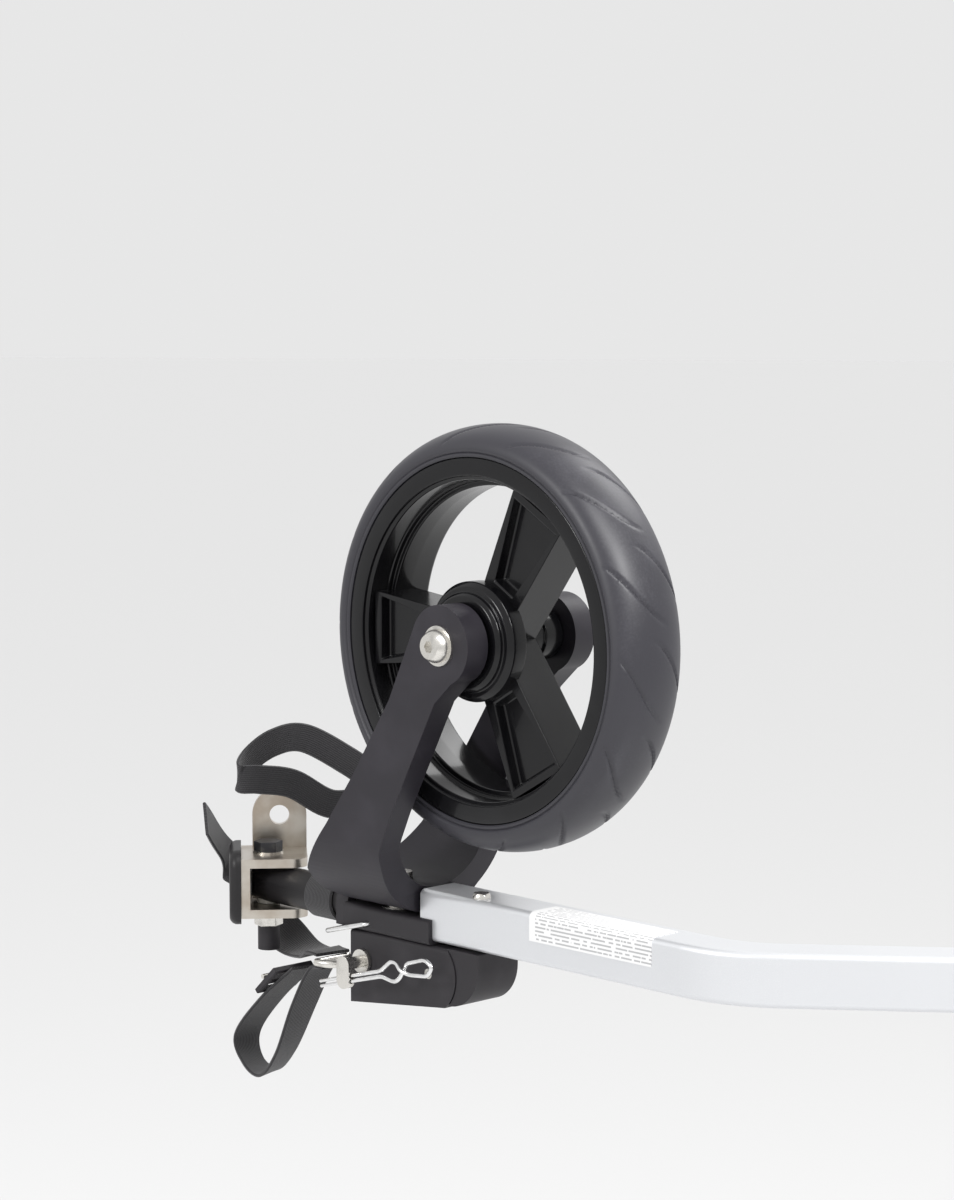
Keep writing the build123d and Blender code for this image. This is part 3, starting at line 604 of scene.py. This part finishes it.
print("tools ready")

# %% [markdown]
# ## Tyre
# The tyre is foam rubber, cast in one piece: a low sidewall that starts in a bead ring, a round
# shoulder and a nearly flat crown, with a few long curved grooves that sweep over each shoulder.
# The lathe alone would leave it bald, and a bump map would leave its outline smooth. So the
# surface is a fine grid about the hub, and every point sinks by a formula where a groove passes.

# %% Tyre with swept grooves
tyre_low, tyre_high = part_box("tyre")
TYRE_R = (tyre_high.z - tyre_low.z) * 500
TYRE_HALF_W = 21.3
RIM_FLANGE_R = 86.65
RIM_SEAT_R = 80.15
RIM_HALF_W = 20.0
GROOVES = 14
GROOVE_W = 1.5
GROOVE_DEPTH = 0.9
GROOVE_PAST_MIDDLE = 6
BEAD_REACH = 3.5


def tyre_profile():
    """(radius, across) points from the near seat over the crown to the far seat."""
    seat = RIM_HALF_W - 3.2
    bead = [(RIM_SEAT_R, -seat), (RIM_FLANGE_R, -seat), (RIM_FLANGE_R, -RIM_HALF_W - 0.2)]
    bead += [(RIM_FLANGE_R + 0.7, -TYRE_HALF_W + 0.5), (RIM_FLANGE_R + 1.6, -TYRE_HALF_W + 0.6)]
    bead += [(RIM_FLANGE_R + 2.1, -TYRE_HALF_W + 1.1), (RIM_FLANGE_R + 2.8, -TYRE_HALF_W + 0.4)]
    wall = []
    base = RIM_FLANGE_R + 3.6
    steps = 60
    for k in range(steps + 1):
        turn = math.pi * (k / steps - 0.5)
        lift = abs(math.cos(turn)) ** 0.95
        wall.append((base + (TYRE_R - base) * lift, TYRE_HALF_W * math.sin(turn)))
    mirrored = [(r, -y) for r, y in reversed(bead)]
    return bead + wall + mirrored


def groove_depth(turn, y):
    """How far the surface sinks, in millimetres, at an angle about the hub and a place across."""
    pitch = 2 * math.pi / GROOVES
    sunk = 0.0
    for side, shift in ((-1, 0.0), (1, 0.5)):
        reach = y * side
        if reach < -GROOVE_PAST_MIDDLE:
            continue
        sweep = 0.19 * math.sin(max(0.0, 20 - reach) / 26 * math.pi * 0.55) + 0.0045 * (20 - reach)
        offset = (turn / pitch - shift - sweep / pitch * side) % 1.0
        gap = min(offset, 1 - offset) * pitch * TYRE_R
        fade = min(1.0, (reach + GROOVE_PAST_MIDDLE) / 8)
        fade *= min(1.0, max(0.0, (TYRE_HALF_W - 0.6 - reach) / 1.6))
        sunk = max(sunk, max(0.0, 1 - (gap / GROOVE_W) ** 2) * fade)
    return sunk * GROOVE_DEPTH


def tyre():
    profile = tyre_profile()
    steps = 720
    vertices = []
    for i in range(steps):
        turn = 2 * math.pi * i / steps
        for r, y in profile:
            if r > RIM_FLANGE_R + BEAD_REACH:
                r -= groove_depth(turn, y)
            vertices.append((r * math.cos(turn), y, r * math.sin(turn)))
    return link_mesh("tyre_foam", vertices, ring_faces(steps, len(profile)), HUB)


hand_over(tyre(), "wheel", "tyre")

# %% [markdown]
# ## Rim
# The rim is one glossy moulding: a deep barrel with a stepped lip, a stepped hub disc, a hub
# tube and three box spokes whose near faces are shallow channels with narrow lips. The
# round parts are lathes of rounded outlines. A spoke is a tray: a tapered block whose near face
# is inset and pushed in, and a Bevel modifier gives all its edges the mould's small radius. The
# three spokes are one tray, turned about the hub by Geometry Nodes.

# %% Barrel, hub disc and hub tube
SPOKES = 3
SPOKE_FIRST_DEG = 60
RIM_LIP_R = 76.0
RIM_BARREL_R = 72.5
HUB_DISC_R = 28.5
HUB_TUBE_R = 11.0
HUB_BORE_R = 6.9
HUB_NEAR = -28.5
HUB_FAR = 28.0


def rim_barrel():
    land = RIM_HALF_W - 3
    outline = [(RIM_LIP_R + 1.8, -RIM_HALF_W), (RIM_FLANGE_R - 0.3, -RIM_HALF_W), (RIM_FLANGE_R - 0.3, -land)]
    outline += [(RIM_SEAT_R - 0.3, -land), (RIM_SEAT_R - 0.3, land), (RIM_FLANGE_R - 0.3, land)]
    outline += [(RIM_FLANGE_R - 0.3, RIM_HALF_W), (RIM_BARREL_R + 2.5, RIM_HALF_W)]
    outline += [(RIM_BARREL_R + 1, RIM_HALF_W - 2)]
    outline += [(RIM_BARREL_R, 5.0), (RIM_BARREL_R, -5.0), (RIM_LIP_R - 0.9, -5.0), (RIM_LIP_R - 0.9, -7.0)]
    outline += [(RIM_LIP_R, -7.6), (RIM_LIP_R, -17.6), (RIM_LIP_R + 1.8, -18.2)]
    return lathe("rim_barrel", rounded(outline, 0.8), HUB, 240)


def hub_disc():
    near = HUB_NEAR
    outline = [(HUB_BORE_R, near + 1.0), (13.4, near + 1.0), (13.4, near + 2.4), (14.6, near + 2.4)]
    outline += [(15.8, near + 1.4), (22.0, near + 1.4), (23.6, near + 3.2), (23.6, near + 5.0)]
    outline += [(26.2, near + 5.0), (HUB_DISC_R, near + 7.4), (HUB_DISC_R, -13.0)]
    outline += [(HUB_TUBE_R + 0.8, -13.0), (HUB_TUBE_R, -11.0), (HUB_TUBE_R, 15.5), (12.4, 16.3)]
    outline += [(12.4, HUB_FAR - 0.8), (11.6, HUB_FAR), (HUB_BORE_R, HUB_FAR)]
    return lathe("hub", rounded(outline, 0.7), HUB, 160)


hand_over(rim_barrel(), "wheel", "wheel_rim")
hand_over(hub_disc(), "wheel", finish="rim_black")

# %% One spoke as a tray
SPOKE_NEAR_Y = -15.0
SPOKE_FAR_Y = 10.0
SPOKE_HALF_HUB = 9.5
SPOKE_HALF_RIM = 18.0
SPOKE_LIP = 2.4
SPOKE_RECESS = 5.0


def ring_of(length0, length1, half0, half1, y):
    """Four corners of a tapered outline along local X, at one place across."""
    return [(length0, y, half0), (length1, y, half1), (length1, y, -half1), (length0, y, -half0)]


def spoke_tray():
    """A tapered block with a deep channel in its near face; it runs out along local X."""
    reach = RIM_BARREL_R + 1.8
    start, end = HUB_DISC_R + 1.0, RIM_BARREL_R - 2.5
    lip0 = SPOKE_HALF_HUB - SPOKE_LIP
    lip1 = SPOKE_HALF_RIM - SPOKE_LIP
    deep = SPOKE_NEAR_Y + SPOKE_RECESS
    vertices = ring_of(0.0, reach, SPOKE_HALF_HUB, SPOKE_HALF_RIM, SPOKE_FAR_Y)
    vertices += ring_of(0.0, reach, SPOKE_HALF_HUB, SPOKE_HALF_RIM, SPOKE_NEAR_Y)
    vertices += ring_of(start, end, lip0, lip1, SPOKE_NEAR_Y)
    vertices += ring_of(start + 1.5, end - 1.5, lip0 - 1.2, lip1 - 1.2, deep)
    faces = [(0, 1, 2, 3), (12, 13, 14, 15)]
    for low in (0, 4, 8):
        for k in range(4):
            other = (k + 1) % 4
            faces.append((low + k, low + other, low + 4 + other, low + 4 + k))
    return link_mesh("spokes", vertices, faces, HUB)


def round_edges(piece, width_mm, segments=3, angle=30):
    """A small radius on every edge sharper than the angle."""
    bevel = piece.modifiers.new("edges", "BEVEL")
    bevel.width = width_mm * 0.001
    bevel.segments = segments
    bevel.limit_method = "ANGLE"
    bevel.angle_limit = math.radians(angle)
    bevel.harden_normals = True
    return baked(piece)


def node_tree(name, inputs):
    """An empty Geometry Nodes tree with the named inputs; returns it and its input and output nodes."""
    tree = bpy.data.node_groups.new(name, "GeometryNodeTree")
    tree.interface.new_socket("Geometry", in_out="INPUT", socket_type="NodeSocketGeometry")
    for label, kind, value in inputs:
        socket = tree.interface.new_socket(label, in_out="INPUT", socket_type=kind)
        if value is not None:
            socket.default_value = value
    tree.interface.new_socket("Geometry", in_out="OUTPUT", socket_type="NodeSocketGeometry")
    source = tree.nodes.new("NodeGroupInput")
    result = tree.nodes.new("NodeGroupOutput")
    return tree, source, result


def tree_node(tree, kind, settings=None, inputs=None):
    """One node with its settings, and its inputs as values or as sockets to link."""
    node = tree.nodes.new(kind)
    for key, value in (settings or {}).items():
        setattr(node, key, value)
    for key, value in (inputs or {}).items():
        if isinstance(value, bpy.types.NodeSocket):
            tree.links.new(value, node.inputs[key])
        else:
            node.inputs[key].default_value = value
    return node


def apply_tree(piece, tree, values):
    """Runs a Geometry Nodes tree on the piece with the named values and keeps the plain mesh."""
    modifier = piece.modifiers.new(tree.name, "NODES")
    modifier.node_group = tree
    for item in tree.interface.items_tree:
        if item.item_type == "SOCKET" and item.in_out == "INPUT" and item.name in values:
            modifier[item.identifier] = values[item.name]
    return baked(piece)


def copies_about_axis():
    """Turns copies of the geometry about an axis through a centre, evenly spaced."""
    inputs = [("Count", "NodeSocketInt", 3), ("Centre", "NodeSocketVector", None)]
    inputs += [("Axis", "NodeSocketVector", None), ("First", "NodeSocketFloat", 0.0)]
    inputs += [("Material", "NodeSocketMaterial", None)]
    tree, source, result = node_tree("copies_about_axis", inputs)
    ends = source.outputs
    points = tree_node(tree, "GeometryNodePoints", None, {"Count": ends["Count"]})
    index = tree_node(tree, "GeometryNodeInputIndex")
    angle = index.outputs[0]
    for operation, value in (("DIVIDE", ends["Count"]), ("MULTIPLY", 2 * math.pi), ("ADD", ends["First"])):
        angle = tree_node(tree, "ShaderNodeMath", {"operation": operation}, {0: angle, 1: value}).outputs[0]
    spin = {"Axis": ends["Axis"], "Angle": angle}
    rotation = tree_node(tree, "FunctionNodeAxisAngleToRotation", None, spin)
    reverse = {0: ends["Centre"], "Scale": -1.0}
    back_off = tree_node(tree, "ShaderNodeVectorMath", {"operation": "SCALE"}, reverse).outputs[0]
    shift = {0: ends["Geometry"], "Translation": back_off}
    centred = tree_node(tree, "GeometryNodeTransform", None, shift)
    copies = {"Points": points.outputs[0], "Instance": centred.outputs[0], "Rotation": rotation.outputs[0]}
    placed = tree_node(tree, "GeometryNodeInstanceOnPoints", None, copies)
    real = tree_node(tree, "GeometryNodeRealizeInstances", None, {0: placed.outputs[0]})
    shift = {0: real.outputs[0], "Translation": ends["Centre"]}
    moved = tree_node(tree, "GeometryNodeTransform", None, shift)
    paint = {0: moved.outputs[0], "Material": ends["Material"]}
    painted = tree_node(tree, "GeometryNodeSetMaterial", None, paint)
    tree.links.new(painted.outputs[0], result.inputs[0])
    return tree


COPIES = copies_about_axis()
spokes = round_edges(spoke_tray(), 1.3)
turning = {"Count": SPOKES, "Centre": wheel_centre, "Axis": wheel_axis}
turning |= {"First": math.radians(SPOKE_FIRST_DEG), "Material": FINISHES["rim_black"]}
hand_over(apply_tree(spokes, COPIES, turning), "wheel", finish="rim_black")

# %% [markdown]
# ## Softened mouldings and pressings
# The fork, the head, the lower housing, the lever, the steel yoke and the fasteners already have
# the right shapes in CAD, but their edges are knife sharp, and no moulding, pressing or turned
# part is. A copy of each is merged, its flat faces are joined up, and a Bevel modifier rounds the
# edges by the given millimetres. The copy stands for the CAD node, which stays behind it for
# collision.

# %% Rounded copies of CAD nodes
def softened(node, width_mm, body, angle=30, segments=3):
    mesh = frame["nodes"][node].data.copy()
    work = bmesh.new()
    work.from_mesh(mesh)
    bmesh.ops.remove_doubles(work, verts=work.verts, dist=2e-6)
    flat = math.radians(0.6)
    bmesh.ops.dissolve_limit(work, angle_limit=flat, verts=work.verts, edges=work.edges)
    work.to_mesh(mesh)
    work.free()
    mesh.shade_smooth()
    mesh.set_sharp_from_angle(angle=math.radians(30))
    piece = bpy.data.objects.new(node + "_skin", mesh)
    bpy.context.scene.collection.objects.link(piece)
    round_edges(piece, width_mm, segments, angle)
    return hand_over(piece, body, node)


SOFT_EDGES = [("wheel_fork", 2.0, "fork"), ("head_shell", 1.2, "arm"), ("socket_housing", 1.4, "arm")]
SOFT_EDGES += [("release_lever", 1.6, "lever"), ("hitch_yoke", 0.9, "hitch")]
SOFT_EDGES += [("coupling_barrel", 0.7, "coupling"), ("strap_slider", 0.6, "coupling")]
SOFT_EDGES += [("lock_pin", 0.5, "lock_pin"), ("axle_nut", 0.5, "fork"), ("pivot_nut", 0.5, "hitch")]
SOFT_EDGES += [("pivot_bolt", 0.5, "hitch"), ("end_plug", 0.8, "arm")]
for node, width_mm, body in SOFT_EDGES:
    softened(node, width_mm, body)

# %% [markdown]
# ## Wires and rings
# A bent wire has a true radius at every bend, where the CAD has only a ball. Each wire is a
# circle swept along its run of points, with every corner turned into a short curve. The circle
# is carried from point to point without twisting, so the wire stays round and smooth.

# %% Swept wires
WIRE_SIDES = 20
TIP_SHARE = 0.72


def open_curve(points, radius, steps=7):
    """A run of points with each inner corner as a curve of about that radius."""
    points = [Vector(p) for p in points]
    result = [points[0]]
    for before, corner, after in zip(points, points[1:], points[2:]):
        result += corner_curve(before, corner, after, radius, 0.48, steps)
    return result + [points[-1]]


def wire(name, spots, radius, local, closed=False):
    """A round wire along the points; the tips of an open one are a little thinner."""
    vertices = []
    side = None
    count = len(spots)
    for i, spot in enumerate(spots):
        ahead = spots[(i + 1) % count] if closed else spots[min(i + 1, count - 1)]
        behind = spots[i - 1] if closed or i else spots[0]
        along = (ahead - behind).normalized()
        if side is None:
            side = along.cross(Vector((0.31, 0.2, 0.93)))
        side = (side - along * side.dot(along)).normalized()
        other = along.cross(side)
        size = radius * (TIP_SHARE if not closed and i in (0, count - 1) else 1.0)
        for k in range(WIRE_SIDES):
            turn = 2 * math.pi * k / WIRE_SIDES
            vertices.append(spot + side * (size * math.cos(turn)) + other * (size * math.sin(turn)))
    faces = ring_faces(count, WIRE_SIDES, closed)
    if not closed:
        faces.append(tuple(range(WIRE_SIDES)))
        faces.append(tuple(range((count - 1) * WIRE_SIDES, count * WIRE_SIDES)))
    return link_mesh(name, vertices, faces, local)


# %% The hairpin clip, the bail and the D-ring
CLIP_EYE = (-84.5, -26.0, -36.5)
CLIP_SLOPE_DEG = 15.5
CLIP_WIRE_R = 1.1
CLIP_LEG = 1.25
CLIP_CROSS = 1.375
slope = Matrix.Rotation(math.radians(-CLIP_SLOPE_DEG), 4, "Y")
CLIP = ARM @ Matrix.Translation(CLIP_EYE) @ slope
upper = [(-19, 0, CLIP_LEG), (27, 0, CLIP_LEG), (35.5, 0, 5), (39.5, 0, 4), (42.5, -CLIP_CROSS, 0)]
bow = [(47, 0, -2.8), (60, 0, -4.9), (64.5, 0, -1), (60, 0, 3.2), (47, 0, 2.8)]
lower = [(x, -y, -z) for x, y, z in reversed(upper)]
clip_wire = wire("hairpin_clip", open_curve(upper + bow + lower, 2.4), CLIP_WIRE_R, CLIP)
hand_over(clip_wire, "clip", "retaining_clip")

BAIL_WIRE_R = 1.2
BAIL_SIDE_Y = 16.5
BAIL_HOOK_Y = 11.0
bail_x, bail_z, bar_x, bar_z = -80.0, -9.5, -110.0, -17.5
near_side = [(bail_x, -BAIL_HOOK_Y, bail_z), (bail_x, -BAIL_SIDE_Y, bail_z), (bar_x, -BAIL_SIDE_Y, bar_z)]
far_side = [(x, -y, z) for x, y, z in reversed(near_side)]
bail_wire = wire("bail_wire", open_curve(near_side + far_side, 3.5), BAIL_WIRE_R, ARM)
hand_over(bail_wire, "bail", "retaining_bail")

RING_CENTRE = Vector((-121.0, -2.0, -36.0))
RING_WIRE_R = 2.0
RING_REACH = 12
RING_HALF_W = 11
RING_STEPS = 96
ring_run = []
for k in range(RING_STEPS):
    turn = 2 * math.pi * k / RING_STEPS
    bend = Vector((max(0.0, math.cos(turn)) * RING_REACH, RING_HALF_W * math.sin(turn), 0))
    ring_run.append(RING_CENTRE + bend)
hand_over(wire("d_ring", ring_run, RING_WIRE_R, ARM, True), "coupling", "strap_ring")

# %% [markdown]
# ## Webbing straps
# The CAD straps are chains of flat facets. The visible ones pass smoothly through the same
# stations: each station is a point and the direction of the band's width, and a spline joins
# them. A UV map holds millimetres along and across, which the weave reads. The two runs between
# the barrel and the hitch stay in the model's frame, attached to neither body.

# %% Smooth bands
BAND_STEPS = 12
BAND_EDGE_MM = 0.5


def spline(points, steps):
    """A smooth curve through the points."""
    ends = [points[0] * 2 - points[1], *points, points[-1] * 2 - points[-2]]
    result = []
    for a, b, c, d in zip(ends, ends[1:], ends[2:], ends[3:]):
        for k in range(steps):
            t = k / steps
            bend = 2 * b + (c - a) * t + (2 * a - 5 * b + 4 * c - d) * t ** 2
            result.append((bend + (3 * b - a - 3 * c + d) * t ** 3) * 0.5)
    return result + [points[-1]]


def band(name, stations, width, thickness):
    """A webbing band through stations, with a UV map in millimetres."""
    spots = spline([Vector(p) for p, across in stations], BAND_STEPS)
    sides = spline([Vector(across).normalized() for p, across in stations], BAND_STEPS)
    half_w, half_t = width / 2, thickness / 2
    flat_w = half_w - BAND_EDGE_MM
    upper_side = [(half_w, 0.0), (flat_w, half_t), (half_w * 0.4, half_t), (-half_w * 0.4, half_t)]
    upper_side += [(-flat_w, half_t)]
    section = upper_side + [(-across, -off) for across, off in upper_side]
    vertices, cloth = [], []
    run = 0.0
    last = len(spots) - 1
    for i, spot in enumerate(spots):
        along = (spots[min(i + 1, last)] - spots[max(i - 1, 0)]).normalized()
        wide = (sides[i] - along * sides[i].dot(along)).normalized()
        thick = along.cross(wide)
        run += (spot - spots[max(i - 1, 0)]).length
        for across, off in section:
            vertices.append(spot + wide * across + thick * off)
            cloth.append((run, across))
    count = len(section)
    faces = ring_faces(last + 1, count, False)
    faces.append(tuple(range(count)))
    faces.append(tuple(range(last * count, last * count + count)))
    mesh = bpy.data.meshes.new(name)
    mesh.from_pydata([tuple(v) for v in vertices], [], faces)
    layer = mesh.uv_layers.new(name="band")
    for loop in mesh.loops:
        layer.data[loop.index].uv = cloth[loop.vertex_index]
    mesh.transform(ARM)
    tidy_mesh(mesh, 50)
    piece = bpy.data.objects.new(name, mesh)
    bpy.context.scene.collection.objects.link(piece)
    return piece


# %% The four straps
STRAP_W = 20.0
STRAP_T = 1.6
LOOP_R = 10.95
LOOP_X = -122
LOOP_STEPS = 24
COUPLING_Z = joint("coupling_roll")["pos_m"][2] * 1000
up = (0, 0, 1)
lean = (0.25, 0.35, 0.9)
wrap = [((-122, 3, 10.1), (1, 0, 0)), ((-133, 30, 20), (0.6, 0.2, 0.8)), ((-150, 50, 33), lean)]
wrap += [((-158, 29, 35), up), ((-164, 9, 47), up), ((-168, -10, 51), up), ((-174, -18, 52), up)]
wrap += [((-180, -8, 58), up), ((-181, 10, 66), up), ((-178, 29, 67), up), ((-166, 49, 54), up)]
wrap += [((-156, 60, 43), up)]
behind = (0.25, -0.25, 0.9)
under = [((-199, -20, 28), (-0.7, 0.7, 0.3)), ((-209.5, -0.4, 10), (-0.6, 0.6, 0.5))]
under += [((-204.6, 12.6, -10), behind), ((-194, 22, -30), (0.5, 0.2, 0.8))]
under += [((-172, 19, -40), (0.4, 0.8, 0.3)), ((-148, 10, -39), (0.2, 1, 0.1))]
under += [((-131, 0, -33.2), (0.1, 1, 0)), ((-121, -2, -32.8), (0, 1, 0))]
tail = [((-121, -2, -39.2), (0, 1, 0)), ((-129, -3, -41.5), (0, 1, 0)), ((-140, -5, -62), (0, 1, 0))]
tail += [((-152, -7, -88), (-0.2, 1, 0))]
tail += [((-164, -8, -101), (-0.3, 1, 0)), ((-176, -9, -97), (-0.3, 1, 0)), ((-180, -9, -83), (0, 1, 0))]
tail += [((-163, -7, -62), (0, 1, 0)), ((-141, -4, -43), (0, 1, 0))]
loop = []
for k in range(LOOP_STEPS + 1):
    turn = 2 * math.pi * k / LOOP_STEPS
    loop.append(((LOOP_X, LOOP_R * math.sin(turn), COUPLING_Z + LOOP_R * math.cos(turn)), (1, 0, 0)))
hand_over(band("tail_webbing", tail, STRAP_W * 0.9, STRAP_T), "coupling", "strap_tail")
hand_over(band("loop_webbing", loop, STRAP_W, STRAP_T), "coupling", "strap_anchor")
runs = [("safety_webbing", "safety_strap", wrap, STRAP_W * 0.75, (-122, 3, 10), (-150, 50, 33))]
runs += [("return_webbing", "strap_return", under, STRAP_W, (-131, 0, -33), (-185, 20, -35))]
for name, node, stations, width, start, end in runs:
    piece = band(name, stations, width, STRAP_T)
    piece.data.materials.append(FINISHES["webbing"])
    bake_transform(piece)
    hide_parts(node)
    print(piece.name, "bends between coupling and hitch")
